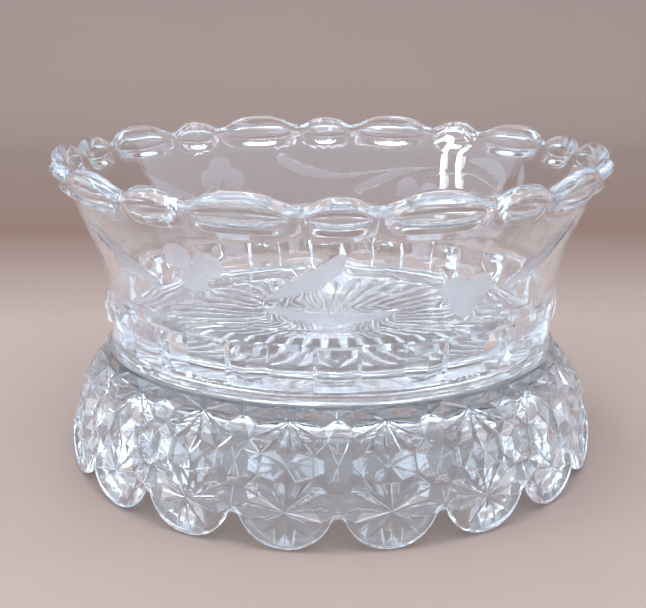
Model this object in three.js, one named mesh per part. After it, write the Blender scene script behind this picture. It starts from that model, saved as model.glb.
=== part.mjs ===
// A pressed glass compote in two loose pieces. The bowl has a flared plain wall, a rim of
// large and small lobes with thumbprints, a band of upright blocks round its waist and a
// rayed star under its floor. It stands on a domed stand like an upturned dish, pressed all
// over with daisies and buttons, whose lower edge is a row of scallops.
// Millimetres, +Z up. The origin lies on the table, under the middle of both pieces, and a
// small lobe of the rim and a notch of the stand's edge face the front, which is -Y.
import * as THREE from 'three';

// Sizes of the stand
const standRadius = 98.6; // widest radius, near the bottom of the dome
const standTopRadius = 84; // radius of the flat top that carries the bowl
const standHeight = 43; // table to the flat top
const bulgeHeight = 8; // height of the widest place above the table
const standWall = 5; // glass between the dome's outside and its smooth inside
const standTopThickness = 5.5; // glass under the bowl's foot
const hollowCorner = 9; // rounding where the hollow's side meets its ceiling

// The scalloped edge of the stand
const scallops = 18;
const notchHeight = 11.4; // table to the top of the gap between two scallops
const archRadius = 2.5; // rounding of that gap
const tipCut = 0.3; // each scallop is ground flat by this much, where it stands
const edgeBand = 2.6; // smooth border round the scallops
const edgeRounding = 1.2; // how far that border falls back at the edge

// Daisies and buttons
const daisyHeight = 13.2; // table to the middle of the lower daisies
const upperDaisyDrop = 2.7; // the upper daisies' middle below the flat top
const buttonWidth = 16; // across the flats of a button's foot
const buttonTable = 9; // across the flats of its clear window
const buttonDepth = 1.9; // how far its foot lies below the window
const daisyDepth = 1.4; // how far a daisy's middle is sunk
const petalDepth = 2.5; // deepest place of a petal's groove
const petalDeepest = 0.6; // how far out along the petal that place is
const petalShoulder = 0.76; // how far out the ridges between the petals reach
const shoulderDepth = 0.3; // how far the ends of those ridges are sunk
const topPetalDepth = 0.6; // groove of the petal that the flat top cuts off
const topPetalShare = 0.3; // half the width of that groove, as a share of half a cell
const topRidgeShare = 0.68; // where the ridge beside it meets the flat top

// Sizes of the bowl, whose heights count from the underside of its foot
const seatGap = 0.3; // free play between the foot and the stand
const footStep = 1.6; // the foot stands in from the edge of the stand's top
const footLand = 4.6; // width of the ring that the bowl stands on
const footHeight = 4.2; // plain foot ring under the band of blocks
const recessHeight = 1.6; // hollow under the floor, inside the foot ring
const recessSlope = 1.8; // how far that hollow draws in as it goes up
const floorThickness = 5;
const floorCorner = 8; // rounding between the floor and the wall
const bowlHeight = 71; // foot to the top of the large lobes
const rimRadius = 101.6; // outermost radius, on the lobes
const bowlWall = 4; // glass of the flared wall
const bandWall = 6.2; // glass behind the band of blocks

// The band of upright blocks
const panels = 18;
const bandHeight = 15.7;
const bandFootProud = 0.4; // the band's lower edge beyond the foot's radius
const bandTopProud = 2.9; // the band's upper edge beyond the foot's radius
const postWidth = 12.4; // upright post between two windows
const postDepth = 2.4; // the post's sides below its middle ridge
const windowDepth = 0.8; // the window's pane below the ridges of the posts
const windowBevel = 1.3; // sloping side of a window
const bandBevel = 1.5; // sloping top and bottom of the windows
const postGable = 4; // pointed top and bottom of a post's ridge

// The flared wall and the lobes of the rim
const collarHeight = 5.6; // plain collar from the band up to the crease
const waistProud = 1.8; // the crease beyond the foot's radius
const flareBend = 1.38; // 1 would be a straight cone, more bends outwards near the rim
const lobePairs = 10; // each pair is one large and one small lobe
const smallLobeWidth = 24.4;
const largeRise = 4.5; // a large lobe above the notches beside it
const smallRise = 3.3; // a small lobe above them
const lobeHeight = 9.5; // from the lobes' lower line to the notches
const lobeProud = 2; // how far a lobe swells beyond the wall
const lobeInside = 0.8; // how far it swells into the bowl
const lobeBreadth = 1.5; // 1 would be an even wave, more makes broad lobes and narrow valleys
const thumbDepth = 1.7; // hollow of the thumbprint
const thumbWidth = 0.78; // how much of its lobe's width the thumbprint takes

// The star under the floor
const starRays = 45;
const starRadius = 65;
const starHub = 5; // plain middle of the star
const starDepth = 1.3;
const starDeepest = 0.6; // how far out the rays reach their full depth
const hubDepth = 0.4; // how much of that depth they have at the hub

// How finely round forms are divided
const plainSteps = 60;
const lobeSteps = 8;
const scallopSteps = 4;
const wallSteps = 4;
const cornerSteps = 3;

const degree = Math.PI / 180;
const mergeScale = 1e4; // points closer than a ten thousandth of a millimetre are one

// A point at an azimuth, which counts from the front towards +X
function polar(radius, azimuth, z) {
  return [radius * Math.sin(azimuth * degree), -radius * Math.cos(azimuth * degree), z];
}

// A closed skin of triangles with shared corners
class Skin {
  constructor() {
    this.places = [];
    this.corners = [];
    this.known = new Map();
  }

  corner(place) {
    const key = place.map((value) => Math.round(value * mergeScale)).join(' ');
    if (!this.known.has(key)) {
      this.known.set(key, this.places.length / 3);
      this.places.push(...place);
    }
    return this.known.get(key);
  }

  face(first, second, third) {
    const [a, b, c] = [this.corner(first), this.corner(second), this.corner(third)];
    if (a !== b && b !== c && c !== a) {
      this.corners.push(a, b, c);
    }
  }

  // Joins two closed rings whose points may differ in number. Seen from outside, a wall
  // that goes from a lower ring to an upper one faces outwards.
  join(from, to) {
    const turn = (ring, index) => ring[index % ring.length].azimuth + 360 * Math.floor(index / ring.length);
    const at = (ring, index) => ring[index % ring.length].place;
    const fromEnd = from.length > 1 ? from.length : 0;
    const toEnd = to.length > 1 ? to.length : 0;
    let i = 0;
    let j = 0;
    while (i < fromEnd || j < toEnd) {
      const fromNext = i < fromEnd ? turn(from, i + 1) : Infinity;
      const toNext = j < toEnd ? turn(to, j + 1) : Infinity;
      if (fromNext <= toNext) {
        this.face(at(from, i), at(from, i + 1), at(to, j));
        i += 1;
      } else {
        this.face(at(from, i), at(to, j + 1), at(to, j));
        j += 1;
      }
    }
  }

  sweep(rings) {
    for (let index = 1; index < rings.length; index += 1) {
      this.join(rings[index - 1], rings[index]);
    }
  }

  geometry() {
    const geometry = new THREE.BufferGeometry();
    geometry.setAttribute('position', new THREE.Float32BufferAttribute(this.places, 3));
    geometry.setIndex(this.corners);
    geometry.computeVertexNormals();
    return geometry;
  }
}

// Rings of points round the axis
function ring(azimuths, place) {
  return azimuths.map((azimuth) => {
    const [radius, z] = place(azimuth);
    return { azimuth, place: polar(radius, azimuth, z) };
  });
}

function evenly(count) {
  return Array.from({ length: count }, (_, index) => (360 * index) / count);
}

function plainRing(radius, z) {
  return ring(evenly(plainSteps), () => [radius, z]);
}

function pole(z) {
  return [{ azimuth: 0, place: [0, 0, z] }];
}

function mix(low, high, share) {
  return low + (high - low) * share;
}

// The dome of the stand. Its outside is an arc that is widest at bulgeHeight and ends at
// the flat top. A place on it is given by its distance along that arc, up from the widest
// place, and by its depth below the surface.
const halfPitch = 180 / scallops;
const halfCell = standRadius * halfPitch * degree;
const domeRise = standHeight - bulgeHeight;
const domeDrop = standRadius - standTopRadius;
const domeRadius = (domeRise ** 2 + domeDrop ** 2) / (2 * domeDrop);
const domeAxis = standRadius - domeRadius;

function arcTo(z) {
  return domeRadius * Math.asin((z - bulgeHeight) / domeRadius);
}

function domeAt(z, depth) {
  const lean = Math.asin((z - bulgeHeight) / (domeRadius - depth));
  return [domeAxis + (domeRadius - depth) * Math.cos(lean), z];
}

function onDome(along, depth) {
  const lean = along / domeRadius;
  const reach = domeRadius - depth;
  return [domeAxis + reach * Math.cos(lean), bulgeHeight + reach * Math.sin(lean)];
}

// Half of one scallop's pattern, between the middle of a daisy and the middle of the
// buttons beside it. Across is in millimetres at the widest radius, up is along the arc.
const daisyUp = arcTo(daisyHeight);
const upperDaisyUp = arcTo(standHeight - upperDaisyDrop);
const buttonUp = (daisyUp + upperDaisyUp) / 2;

function spot(across, up, depth = 0) {
  return { across, up, depth };
}

function edgeSpot(across, z, depth) {
  return { across, z, depth };
}

// The scallop's outline, drawn in from the edge by an inset. It starts at the top of the
// gap and ends under the middle of the scallop, on its flat.
const gapDepth = arcTo(notchHeight) - arcTo(0) + tipCut;
const scallopRadius = (halfCell ** 2 + gapDepth ** 2) / (2 * gapDepth) - archRadius;
const scallopUp = arcTo(0) - tipCut + scallopRadius;
const archUp = arcTo(notchHeight) - archRadius;
const meetAngle = Math.atan2(archUp - scallopUp, halfCell);
const flatAngle = Math.acos(1 - tipCut / scallopRadius) - Math.PI / 2;

function outline(inset) {
  const line = [[halfCell, archUp + archRadius + inset]];
  const reach = scallopRadius - inset;
  for (let step = 0; step <= scallopSteps; step += 1) {
    const angle = mix(meetAngle, flatAngle, step / scallopSteps);
    line.push([reach * Math.cos(angle), scallopUp + reach * Math.sin(angle)]);
  }
  line.push([0, Math.max(scallopUp - reach, arcTo(0))]);
  return line;
}

function heightOf(up) {
  return Math.max(onDome(up, 0)[1], 0);
}

// The octagon of a button, from its lowest corner round its left side to its highest
function octagon(width, depth) {
  const flat = width / 2;
  const corner = flat * Math.tan(22.5 * degree);
  const lowTurns = [[0, -flat], [-corner, -flat], [-flat, -corner]];
  const highTurns = [[-flat, corner], [-corner, flat], [0, flat]];
  const turns = [...lowTurns, [-flat, 0], ...highTurns];
  return turns.map(([across, up]) => spot(halfCell + across, buttonUp + up, depth));
}

function between(first, second, share) {
  return [mix(first.across, second.across, share), mix(first.up, second.up, share)];
}

// The end of the ridge between two petals of a daisy
function shoulder(middle, first, second) {
  const [across, up] = between(first, second, 0.5);
  return spot(...between(middle, { across, up }, petalShoulder), shoulderDepth);
}

// Faces of half a pattern, each a list of three spots
function petalHalf(middle, tip, ridge, ridgeIsLeft) {
  const deepest = spot(...between(middle, tip, petalDeepest), petalDepth);
  if (ridgeIsLeft) {
    return [[middle, deepest, ridge], [deepest, tip, ridge]];
  }
  return [[middle, ridge, deepest], [deepest, ridge, tip]];
}

// The fan of petals round a daisy's middle: tips and ridges take turns, clockwise
function daisyFan(middle, line) {
  const faces = [];
  for (let index = 0; index < line.length; index += 2) {
    if (index > 0) {
      faces.push(...petalHalf(middle, line[index], line[index - 1], true));
    }
    if (index < line.length - 1) {
      faces.push(...petalHalf(middle, line[index], line[index + 1], false));
    }
  }
  return faces;
}

function buttonFaces(foot, table) {
  const faces = [];
  const middle = spot(halfCell, buttonUp);
  for (let side = 1; side < foot.length; side += 1) {
    faces.push([foot[side - 1], table[side - 1], table[side]]);
    faces.push([foot[side - 1], table[side], foot[side]]);
    faces.push([middle, table[side], table[side - 1]]);
  }
  return faces;
}

function topEdge(share, depth) {
  return edgeSpot(halfCell * share, standHeight, depth);
}

function halfPattern() {
  const foot = octagon(buttonWidth, buttonDepth);
  const table = octagon(buttonTable, 0);
  const [footLow, footLower, footLeftLow, footLeft, footLeftHigh, footUpper, footHigh] = foot;
  const lower = spot(0, daisyUp, daisyDepth);
  const upper = spot(0, upperDaisyUp, daisyDepth);
  const meeting = spot(0, buttonUp);
  const upperSide = spot(halfCell, upperDaisyUp);
  const border = outline(edgeBand).map(([across, up]) => spot(across, up));
  const notch = border[0];

  // The lower daisy, from its topmost petal round to the one that points down
  const ridges = [
    shoulder(lower, meeting, footLeftLow),
    shoulder(lower, footLeftLow, footLower),
    shoulder(lower, footLower, notch),
  ];
  const lowerLine = [meeting, ridges[0], footLeftLow, ridges[1], footLower, ridges[2], ...border];
  const faces = daisyFan(lower, lowerLine);
  faces.push([ridges[0], footLeftLow, meeting]);
  faces.push([footLeftLow, footLeft, meeting]);
  faces.push([ridges[1], footLower, footLeftLow]);
  faces.push([ridges[2], notch, footLower]);
  faces.push([notch, footLow, footLower]);

  // The lower half of the upper daisy, and what shows of its upper half
  const upperRidges = [
    topEdge(topRidgeShare, shoulderDepth),
    shoulder(upper, upperSide, footUpper),
    shoulder(upper, footUpper, footLeftHigh),
    shoulder(upper, footLeftHigh, meeting),
  ];
  const upperTips = [upperSide, footUpper, footLeftHigh, meeting];
  const upperLine = upperTips.flatMap((tip, index) => (index > 0 ? [upperRidges[index], tip] : [tip]));
  faces.push(...petalHalf(upper, upperSide, { ...upperRidges[0], up: arcTo(standHeight) }, true));
  faces.push(...daisyFan(upper, upperLine));
  faces.push([upperRidges[3], meeting, footLeftHigh]);
  faces.push([meeting, footLeft, footLeftHigh]);
  faces.push([upperRidges[2], footLeftHigh, footUpper]);
  faces.push([upperRidges[1], footUpper, upperSide]);
  faces.push([footUpper, footHigh, upperSide]);

  const rimline = [topEdge(0, topPetalDepth), topEdge(topPetalShare, 0), upperRidges[0], topEdge(1, 0)];
  faces.push([upper, rimline[1], rimline[0]]);
  faces.push([upper, rimline[2], rimline[1]]);
  faces.push([upperSide, rimline[3], rimline[2]]);

  faces.push(...buttonFaces(foot, table));
  faces.push(...edgeFaces(border));
  return { faces, rimline };
}

// The border that falls back to the edge, and the edge itself through the wall
function edgeFaces(border) {
  const line = outline(0);
  const outer = line.map(([across, up]) => edgeSpot(across, heightOf(up), edgeRounding));
  const inner = line.map(([across, up]) => edgeSpot(across, heightOf(up), standWall));
  const faces = [];
  for (let index = 1; index < line.length; index += 1) {
    faces.push([border[index - 1], border[index], outer[index]]);
    faces.push([border[index - 1], outer[index], outer[index - 1]]);
    faces.push([outer[index - 1], outer[index], inner[index]]);
    faces.push([outer[index - 1], inner[index], inner[index - 1]]);
  }
  return faces;
}

function placeSpot(item, sector, side) {
  const azimuth = (2 * sector + 1) * halfPitch + (side * item.across * halfPitch) / halfCell;
  const [radius, z] = item.z === undefined ? onDome(item.up, item.depth) : domeAt(item.z, item.depth);
  return { azimuth, place: polar(radius, azimuth, z) };
}

// The ring of points along the inner side of the scalloped edge
function innerEdgeRing() {
  const line = outline(0).map(([across, up]) => edgeSpot(across, heightOf(up), standWall));
  const points = [];
  for (let sector = 0; sector < scallops; sector += 1) {
    for (let index = 0; index < line.length; index += 1) {
      points.push(placeSpot(line[index], sector, -1));
    }
    for (let index = line.length - 2; index > 0; index -= 1) {
      points.push(placeSpot(line[index], sector, 1));
    }
  }
  return points;
}

// The smooth hollow of the stand, from the middle of its ceiling down to the edge
function hollowRings() {
  const ceiling = standHeight - standTopThickness;
  const springing = ceiling - hollowCorner;
  const sideRadius = domeAt(springing, standWall)[0];
  const rings = [pole(ceiling)];
  for (let step = 0; step < cornerSteps; step += 1) {
    const angle = mix(90, 0, step / cornerSteps) * degree;
    const radius = sideRadius - hollowCorner * (1 - Math.cos(angle));
    rings.push(plainRing(radius, springing + hollowCorner * Math.sin(angle)));
  }
  for (let step = 0; step < cornerSteps; step += 1) {
    const z = mix(springing, notchHeight + edgeBand, step / (cornerSteps - 1));
    rings.push(plainRing(domeAt(z, standWall)[0], z));
  }
  rings.push(innerEdgeRing());
  return rings;
}

function standGeometry() {
  const skin = new Skin();
  const { faces, rimline } = halfPattern();
  const top = [0, 0, standHeight];
  for (let sector = 0; sector < scallops; sector += 1) {
    for (const side of [1, -1]) {
      const addFace = (places) => {
        const ordered = side > 0 ? places : [places[0], places[2], places[1]];
        skin.face(...ordered);
      };
      faces.forEach((face) => addFace(face.map((item) => placeSpot(item, sector, side).place)));
      const line = rimline.map((item) => placeSpot(item, sector, side).place);
      for (let index = 1; index < line.length; index += 1) {
        addFace([line[index - 1], line[index], top]);
      }
    }
  }
  skin.sweep(hollowRings());
  return skin.geometry();
}

// The bowl's levels and radii
const footRadius = standTopRadius - footStep;
const bandTop = footHeight + bandHeight;
const waistHeight = bandTop + collarHeight;
const waistRadius = footRadius + waistProud;
const notchLevel = bowlHeight - largeRise;
const lobeFoot = notchLevel - lobeHeight;
const flareRadius = rimRadius - lobeProud;
const floorLevel = recessHeight + floorThickness;
const bandInside = footRadius + bandTopProud - bandWall;

function wallRadius(z) {
  const share = Math.max(z - waistHeight, 0) / (notchLevel - waistHeight);
  return waistRadius + (flareRadius - waistRadius) * share ** flareBend;
}

// The underside: the star's rays, the hollow under the floor and the foot ring
function undersideRings() {
  const rays = evenly(2 * starRays);
  const rayStep = 180 / starRays;
  const groove = (azimuth) => (Math.round(azimuth / rayStep) % 2 === 0 ? 0 : starDepth);
  const starRing = (radius, share) => {
    return ring(rays, (azimuth) => [radius, recessHeight + share * groove(azimuth)]);
  };
  const landInside = footRadius - footLand;
  return [
    pole(recessHeight),
    starRing(starHub, hubDepth),
    starRing(starRadius * starDeepest, 1),
    starRing(starRadius, 0),
    plainRing(landInside - recessSlope, recessHeight),
    plainRing(landInside, 0),
    plainRing(footRadius, 0),
  ];
}

// The band of blocks: posts with a ridge, and windows with a raised pane between them
function bandRings() {
  const pitch = 360 / panels;
  const perDegree = footRadius * degree;
  const postHalf = postWidth / 2 / perDegree;
  const paneEdge = postHalf + windowBevel / perDegree;
  const relief = [
    { turn: 0, depth: 0, gabled: true },
    { turn: postHalf, depth: postDepth },
    { turn: paneEdge, depth: windowDepth },
    { turn: pitch / 2, depth: windowDepth },
    { turn: pitch - paneEdge, depth: windowDepth },
    { turn: pitch - postHalf, depth: postDepth },
  ];
  const points = [];
  for (let panel = 0; panel < panels; panel += 1) {
    points.push(...relief.map((item) => ({ ...item, azimuth: panel * pitch + item.turn })));
  }
  const plainDepth = postDepth / 2;
  const bandRadius = (z) => footRadius + mix(bandFootProud, bandTopProud, (z - footHeight) / bandHeight);
  const level = (z, share, ridgeShare) => points.map(({ azimuth, depth, gabled }) => {
    const radius = bandRadius(z) - mix(plainDepth, depth, gabled ? ridgeShare : share);
    return { azimuth, place: polar(radius, azimuth, z) };
  });
  return [
    plainRing(footRadius, footHeight),
    level(footHeight, 0, 0),
    level(footHeight + bandBevel, 1, 0),
    level(footHeight + postGable, 1, 1),
    level(bandTop - postGable, 1, 1),
    level(bandTop - bandBevel, 1, 0),
    level(bandTop, 0, 0),
  ];
}

// The plain flared wall, outside or inside
function wallRings(inset) {
  const rings = [];
  for (let step = 0; step < wallSteps; step += 1) {
    const z = mix(waistHeight, lobeFoot, step / wallSteps);
    rings.push(plainRing(wallRadius(z) - inset, z));
  }
  return rings;
}

// The lobes of the rim. Every place on a lobe knows how far it is from the lobe's middle,
// from -1 at one notch to 1 at the next.
const smallHalf = smallLobeWidth / (2 * rimRadius) / degree;

function lobePlaces() {
  const pitch = 360 / lobePairs;
  const places = [];
  for (let pair = 0; pair < lobePairs; pair += 1) {
    const small = { middle: pair * pitch, half: smallHalf, rise: smallRise };
    const large = { middle: (pair + 0.5) * pitch, half: pitch / 2 - smallHalf, rise: largeRise };
    for (const lobe of [small, large]) {
      for (let step = 0; step < lobeSteps; step += 1) {
        const off = (2 * step) / lobeSteps - 1;
        places.push({ azimuth: lobe.middle + off * lobe.half, off, rise: lobe.rise });
      }
    }
  }
  return places;
}

function lobeSwell(off) {
  return Math.cos((Math.PI / 2) * Math.abs(off) ** lobeBreadth) ** 2;
}

// A ring round the outside of the lobes, a share of the way from their lower line to their
// top. Swell says how much of their bulge they have there, and print how much of the
// thumbprint.
function lobeRing({ share, swell = 0, print = 0 }) {
  return lobePlaces().map(({ azimuth, off, rise }) => {
    const full = lobeSwell(off);
    const z = mix(lobeFoot, notchLevel + rise * full, share);
    const hollow = thumbDepth * Math.max(1 - (off / thumbWidth) ** 2, 0) * print;
    const radius = wallRadius(Math.min(z, notchLevel)) + full * lobeProud * swell - hollow;
    return { azimuth, place: polar(radius, azimuth, z) };
  });
}

function lobeInsideRing({ share, swell = 0 }) {
  return lobePlaces().map(({ azimuth, off, rise }) => {
    const full = lobeSwell(off);
    const z = mix(lobeFoot, notchLevel + rise * full, share);
    const radius = wallRadius(Math.min(z, notchLevel)) - bowlWall - full * lobeInside * swell;
    return { azimuth, place: polar(radius, azimuth, z) };
  });
}

function crestRing() {
  return lobePlaces().map(({ azimuth, off, rise }) => {
    const full = lobeSwell(off);
    const radius = flareRadius - bowlWall / 2 + (full * (lobeProud - lobeInside)) / 2;
    return { azimuth, place: polar(radius, azimuth, notchLevel + rise * full) };
  });
}

function rimRings() {
  return [
    lobeRing({ share: 0 }),
    lobeRing({ share: 0.2, swell: 0.75 }),
    lobeRing({ share: 0.5, swell: 1, print: 1 }),
    lobeRing({ share: 0.8, swell: 1 }),
    lobeRing({ share: 0.95, swell: 0.5 }),
    crestRing(),
    lobeInsideRing({ share: 0.93, swell: 0.3 }),
    lobeInsideRing({ share: 0.6, swell: 1 }),
    lobeInsideRing({ share: 0 }),
  ];
}

// The inside, from under the lobes down to the middle of the floor
function insideRings() {
  const rings = wallRings(bowlWall).reverse();
  rings.push(plainRing(bandInside, bandTop));
  for (let step = 0; step <= cornerSteps; step += 1) {
    const angle = mix(0, 90, step / cornerSteps) * degree;
    const radius = bandInside - floorCorner * (1 - Math.cos(angle));
    const z = floorLevel + floorCorner * (1 - Math.sin(angle));
    if (z < bandTop) {
      rings.push(plainRing(radius, z));
    }
  }
  rings.push(pole(floorLevel));
  return rings;
}

function bowlGeometry() {
  const skin = new Skin();
  skin.sweep([
    ...undersideRings(),
    ...bandRings(),
    ...wallRings(0),
    ...rimRings(),
    ...insideRings(),
  ]);
  return skin.geometry();
}

// Clear glass with a faint cool tint
function clearGlass() {
  return new THREE.MeshStandardMaterial({
    color: 0xdfe3ec,
    roughness: 0.05,
    metalness: 0,
    transparent: true,
    opacity: 0.35,
  });
}

function makeBowl() {
  const bowl = new THREE.Mesh(bowlGeometry(), clearGlass());
  bowl.name = 'bowl';
  bowl.position.z = standHeight + seatGap;
  return bowl;
}

function makeStand() {
  const stand = new THREE.Mesh(standGeometry(), clearGlass());
  stand.name = 'stand';
  return stand;
}

const compote = new THREE.Group();
compote.add(makeStand(), makeBowl());

export default compote;
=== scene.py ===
"""A pressed glass compote in two loose pieces, dressed for the camera.

The bowl has a star under its floor, a band of upright blocks, a plain flared wall with frosted
berries and leaves cut into it, and a rim of large and small lobes with thumbprints. The stand is
a dome pressed all over with daisies and buttons, on an edge of scallops. Shapes are worked out in
millimetres round the upright axis and become metres when a mesh is made.
"""

import logging
import math
from dataclasses import dataclass, field
from enum import IntEnum
from functools import cached_property

import bmesh
import bpy
from mathutils import Euler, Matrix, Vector
from mathutils.geometry import delaunay_2d_cdt


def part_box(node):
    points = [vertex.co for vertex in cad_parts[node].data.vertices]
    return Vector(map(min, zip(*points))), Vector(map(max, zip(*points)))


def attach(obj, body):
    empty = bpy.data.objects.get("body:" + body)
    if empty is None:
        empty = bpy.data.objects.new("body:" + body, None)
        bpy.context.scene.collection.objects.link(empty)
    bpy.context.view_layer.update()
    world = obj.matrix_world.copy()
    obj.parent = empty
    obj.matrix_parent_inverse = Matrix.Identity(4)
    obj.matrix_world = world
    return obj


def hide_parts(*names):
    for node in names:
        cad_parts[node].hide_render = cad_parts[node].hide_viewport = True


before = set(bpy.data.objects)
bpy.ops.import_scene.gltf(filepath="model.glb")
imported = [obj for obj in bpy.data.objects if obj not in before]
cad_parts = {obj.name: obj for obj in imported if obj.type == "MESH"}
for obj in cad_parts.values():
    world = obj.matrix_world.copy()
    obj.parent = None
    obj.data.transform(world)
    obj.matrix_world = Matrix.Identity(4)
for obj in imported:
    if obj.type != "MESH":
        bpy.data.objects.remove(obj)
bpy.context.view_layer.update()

MILLIMETRE = 0.001
MERGED = 0.003
SAME_AZIMUTH = 1e-6
SAME_SPOT = 1e-5
SHORTEST = 1e-6
FACET_WEIGHT = 50
SHARP_ANGLE = math.radians(33)

Place = tuple[float, float, float]
Spot = tuple[float, float]
Colour = tuple[float, float, float]
Row = list[tuple[float, Place]]
Line = tuple[list[Spot], bool]
Finishes = list[bpy.types.Material]
Inputs = dict[str | int, object]
Link = tuple[bpy.types.Node, str, bpy.types.Node, str | int]

log = logging.getLogger("compote")


class Finish(IntEnum):
    """The two finishes of the glass, as material slots of each piece."""

    CLEAR = 0
    FROSTED = 1


def mix(low: float, high: float, share: float) -> float:
    """Returns the value that lies a share of the way from low to high."""
    return low + (high - low) * share


def polar(radius: float, azimuth: float, height: float) -> Place:
    """Returns a place round the axis; azimuth is in degrees from the front towards +X."""
    turn = math.radians(azimuth)
    return (radius * math.sin(turn), -radius * math.cos(turn), height)


def steps(low: float, high: float, count: int) -> list[float]:
    """Returns count + 1 evenly spaced values from low to high."""
    return [mix(low, high, index / count) for index in range(count + 1)]


def arc(middle: Spot, reach: Spot, start: float, end: float, count: int) -> list[Spot]:
    """Draws an arc of an upright or level oval.

    Args:
        middle: The oval's middle, across and up.
        reach: Its half width and half height.
        start: The first angle in radians, from the right towards the top.
        end: The last angle.
        count: How many steps the arc has.

    Returns:
        Its count + 1 spots.
    """
    (across, up), (wide, high) = middle, reach
    angles = steps(start, end, count)
    return [(across + wide * math.cos(angle), up + high * math.sin(angle)) for angle in angles]


def millimetres(corner: Vector) -> Vector:
    """Returns a corner of a box of the frame in millimetres."""
    return corner / MILLIMETRE


class Shell:
    """Faces that share their corners, gathered in millimetres."""

    MERGE = 1e4

    def __init__(self) -> None:
        """Starts with no corners and no faces."""
        self.places: list[Place] = []
        self.faces: list[tuple[int, ...]] = []
        self.finishes: list[Finish] = []
        self.known: dict[tuple[int, ...], int] = {}

    def corner(self, place: Place) -> int:
        """Returns the index of the corner at a place, which is new or already known."""
        key = tuple(round(value * self.MERGE) for value in place)
        if key not in self.known:
            self.known[key] = len(self.places)
            self.places.append(place)
        return self.known[key]

    def face(self, *places: Place, finish: Finish = Finish.CLEAR) -> None:
        """Adds one face, leaving out corners that fall together.

        Args:
            places: The face's corners in order.
            finish: The finish of the glass on this face.
        """
        corners: list[int] = []
        for place in places:
            index = self.corner(place)
            if index not in corners:
                corners.append(index)
        if len(corners) > 2:
            self.faces.append(tuple(corners))
            self.finishes.append(finish)

    def strip(self, first: Row, second: Row) -> None:
        """Joins two rows that span the same turn, whose numbers of points may differ.

        Args:
            first: Points as pairs of azimuth and place, in order of azimuth.
            second: The row that follows it.
        """
        here, there = 0, 0
        while here < len(first) - 1 or there < len(second) - 1:
            next_here = first[here + 1][0] if here < len(first) - 1 else math.inf
            next_there = second[there + 1][0] if there < len(second) - 1 else math.inf
            if math.isclose(next_here, next_there, abs_tol=SAME_AZIMUTH):
                self.face(first[here][1], first[here + 1][1], second[there + 1][1], second[there][1])
                here, there = here + 1, there + 1
            elif next_here < next_there:
                self.face(first[here][1], first[here + 1][1], second[there][1])
                here += 1
            else:
                self.face(first[here][1], second[there + 1][1], second[there][1])
                there += 1

    def sweep(self, rows: list[Row]) -> "Shell":
        """Joins each row to the one after it and returns the shell."""
        for first, second in zip(rows, rows[1:]):
            self.strip(first, second)
        return self

    def mesh(self, name: str) -> bpy.types.Mesh:
        """Returns the faces as a mesh in metres."""
        mesh = bpy.data.meshes.new(name)
        corners = [tuple(value * MILLIMETRE for value in place) for place in self.places]
        mesh.from_pydata(corners, [], self.faces)
        mesh.polygons.foreach_set("material_index", [int(finish) for finish in self.finishes])
        return mesh


def added(name: str, data: bpy.types.ID) -> bpy.types.Object:
    """Adds an object that shows some data to the scene and returns it."""
    item = bpy.data.objects.new(name, data)
    bpy.context.scene.collection.objects.link(item)
    return item


@dataclass
class Wiring:
    """A node tree that is being wired up."""

    tree: bpy.types.NodeTree

    def node(self, kind: str, inputs: Inputs | None = None, **settings: object) -> bpy.types.Node:
        """Adds a node.

        Args:
            kind: The kind of node.
            inputs: Values on its input sockets.
            settings: Values of its properties.

        Returns:
            The new node.
        """
        node = self.tree.nodes.new(kind)
        for name, value in settings.items():
            setattr(node, name, value)
        return self.fill(node, inputs or {})

    @staticmethod
    def fill(node: bpy.types.Node, inputs: Inputs) -> bpy.types.Node:
        """Sets constant values on a node's own sockets and returns the node."""
        for socket, value in inputs.items():
            node.inputs[socket].default_value = value
        return node

    def link(self, *links: Link) -> None:
        """Links sockets, each pair given as node, output, node and input."""
        for source, output, target, socket in links:
            self.tree.links.new(source.outputs[output], target.inputs[socket])


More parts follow.
